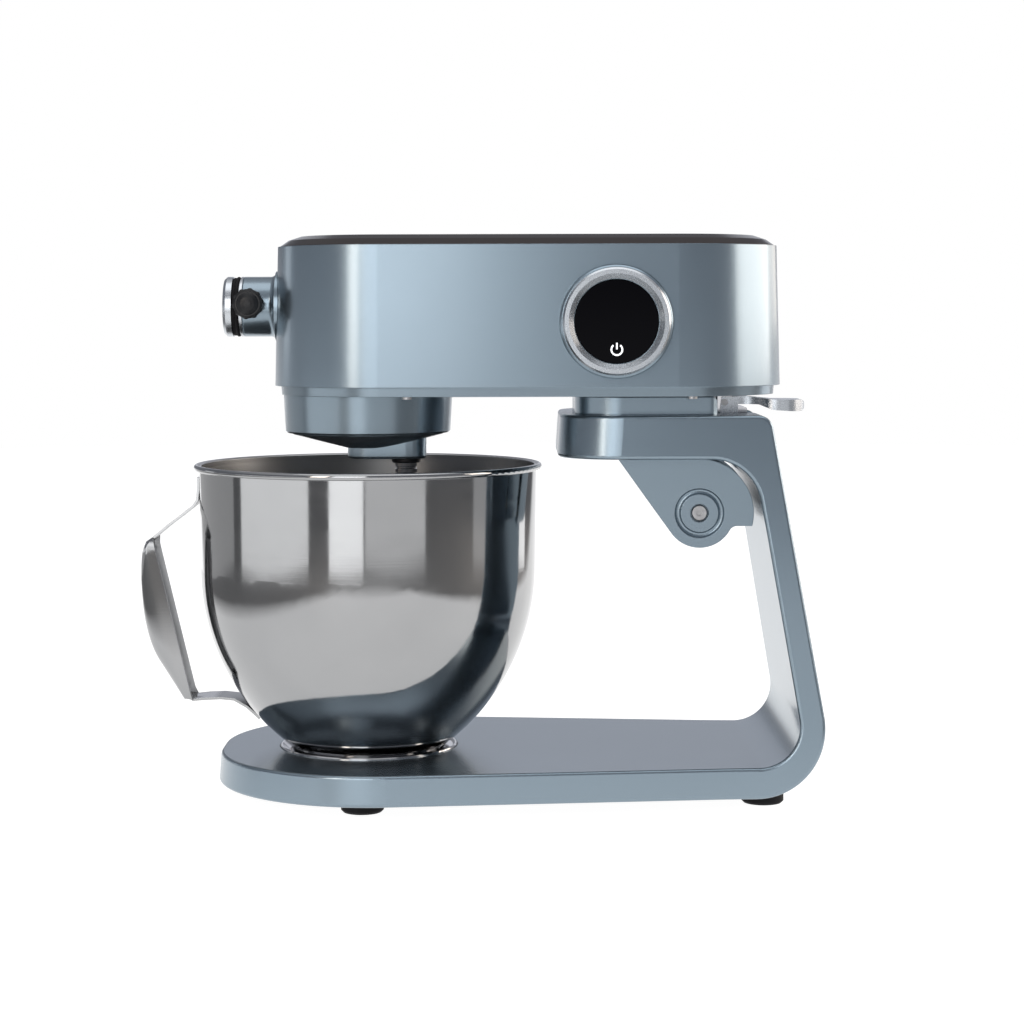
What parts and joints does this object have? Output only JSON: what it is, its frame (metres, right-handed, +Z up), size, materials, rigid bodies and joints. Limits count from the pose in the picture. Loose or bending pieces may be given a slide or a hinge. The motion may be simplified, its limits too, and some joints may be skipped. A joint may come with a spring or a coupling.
{
  "type": "stand mixer",
  "caption": "Tilt-head stand mixer with a C-shaped cast stand, planetary beater drive, control dial, accessory hub, release lever and twist-lock steel bowl with a handle.",
  "frame": {"origin": "centre of the bounding box's bottom face; the feet stand on Z = 0", "axes": "+X from the bowl end to the hinge end, +Z up, the dial faces -Y"},
  "size_m": [0.4243, 0.2206, 0.3495],
  "materials": {
    "paint": "satin",
    "black_gloss": "gloss",
    "black_plastic": "satin",
    "rubber": "matte",
    "polished_steel": "polished",
    "chrome": "polished",
    "satin_silver": "satin",
    "steel": "satin",
    "bronze": "satin",
    "gear_plastic": "satin",
    "cast_metal": "satin",
    "circuit_board": "satin",
    "belt_rubber": "matte",
    "glass": "gloss"
  },
  "bodies": {
    "stand": {"c_frame": "paint", "base_cover": "black_plastic", "feet": "rubber", "base_screws": "steel", "bowl_lock_plate": "chrome", "lock_plate_screws": "steel", "neck_collar": "paint", "hinge_cheek_near": "paint", "hinge_cheek_far": "paint", "hinge_pin": "steel", "hinge_bolts": "steel", "latch_strike": "steel", "cord_grommet": "rubber"},
    "head": {"head_housing": "paint", "head_top_cover": "black_gloss", "head_chassis": "paint", "ring_gear": "steel", "shaft_bearings": "steel", "gearbox_bridge": "cast_metal", "motor_stator": "steel", "motor_bracket": "steel", "drive_belt": "belt_rubber", "hinge_arm": "paint", "hinge_bushings": "bronze", "lever_block": "chrome", "lever_pin": "steel", "lever_spring": "steel", "control_board": "circuit_board", "dial_bezel": "paint", "dial_glass": "glass", "display_board": "circuit_board", "hub_barrel": "paint", "hub_trim_ring": "satin_silver", "head_screws": "steel"},
    "drive": {"main_shaft": "steel", "main_gear": "gear_plastic", "planet_carrier": "paint", "drive_skirt": "paint", "planet_bushing": "bronze", "drive_bevel_gear": "steel"},
    "planet": {"planet_pinion": "steel", "output_shaft": "chrome", "output_collar": "black_plastic", "drive_pin": "steel"},
    "jackshaft": {"jackshaft": "steel", "jack_pulley": "gear_plastic", "jack_pinion": "steel"},
    "motor": {"motor_rotor": "steel", "motor_pulley": "steel"},
    "accessory_drive": {"pto_shaft": "steel", "pto_bevel_gear": "steel"},
    "dial": {"dial_ring": "satin_silver"},
    "hub_knob": {"hub_knob": "black_plastic", "hub_screw": "steel"},
    "hub_cap": {"hub_cap": "satin_silver", "hub_o_ring": "rubber"},
    "lever": {"release_lever": "satin_silver"},
    "bowl": {"bowl_body": "polished_steel", "bowl_foot_ring": "polished_steel", "bowl_handle": "polished_steel"}
  },
  "joints": [
    {"name": "head_tilt", "type": "hinge", "parent": "stand", "child": "head", "pos_m": [0.1383, 0, 0.1789], "axis": [0, 1, 0], "range_deg": [0, 30]},
    {"name": "planetary_spin", "type": "hinge", "parent": "head", "child": "drive", "pos_m": [-0.0674, 0, 0.2557], "axis": [0, 0, 1], "continuous": true},
    {"name": "planet_spin", "type": "hinge", "parent": "drive", "child": "planet", "pos_m": [-0.0434, 0, 0.22], "axis": [0, 0, 1], "continuous": true},
    {"name": "jackshaft_spin", "type": "hinge", "parent": "head", "child": "jackshaft", "pos_m": [-0.02053, 0, 0.27], "axis": [0, 0, 1], "continuous": true},
    {"name": "motor_spin", "type": "hinge", "parent": "head", "child": "motor", "pos_m": [0.1, 0, 0.3], "axis": [0, 0, 1], "continuous": true},
    {"name": "accessory_spin", "type": "hinge", "parent": "head", "child": "accessory_drive", "pos_m": [-0.1, 0, 0.3057], "axis": [1, 0, 0], "continuous": true},
    {"name": "dial_turn", "type": "hinge", "parent": "head", "child": "dial", "pos_m": [0.0872, -0.083, 0.296], "axis": [0, -1, 0], "continuous": true},
    {"name": "hub_knob_turn", "type": "hinge", "parent": "head", "child": "hub_knob", "pos_m": [-0.1408, -0.026, 0.3075], "axis": [0, -1, 0], "range_deg": [-360, 360]},
    {"name": "hub_cap_pull", "type": "slide", "parent": "head", "child": "hub_cap", "axis": [-1, 0, 0], "range_m": [0, 0.03]},
    {"name": "lever_press", "type": "hinge", "parent": "head", "child": "lever", "pos_m": [0.1572, 0, 0.245], "axis": [0, 1, 0], "range_deg": [0, 6], "stiffness_Nm_per_rad": 0.5, "springref_deg": -14.32},
    {"name": "bowl_twist", "type": "hinge", "parent": "stand", "child": "bowl", "pos_m": [-0.0674, 0, 0.03], "axis": [0, 0, 1], "range_deg": [0, 30]}
  ],
  "couplings": [
    {"joint": "planet_spin", "follows": "planetary_spin", "ratio": -3},
    {"joint": "jackshaft_spin", "follows": "planetary_spin", "ratio": -4},
    {"joint": "motor_spin", "follows": "planetary_spin", "ratio": -15},
    {"joint": "accessory_spin", "follows": "planetary_spin", "ratio": -1}
  ]
}
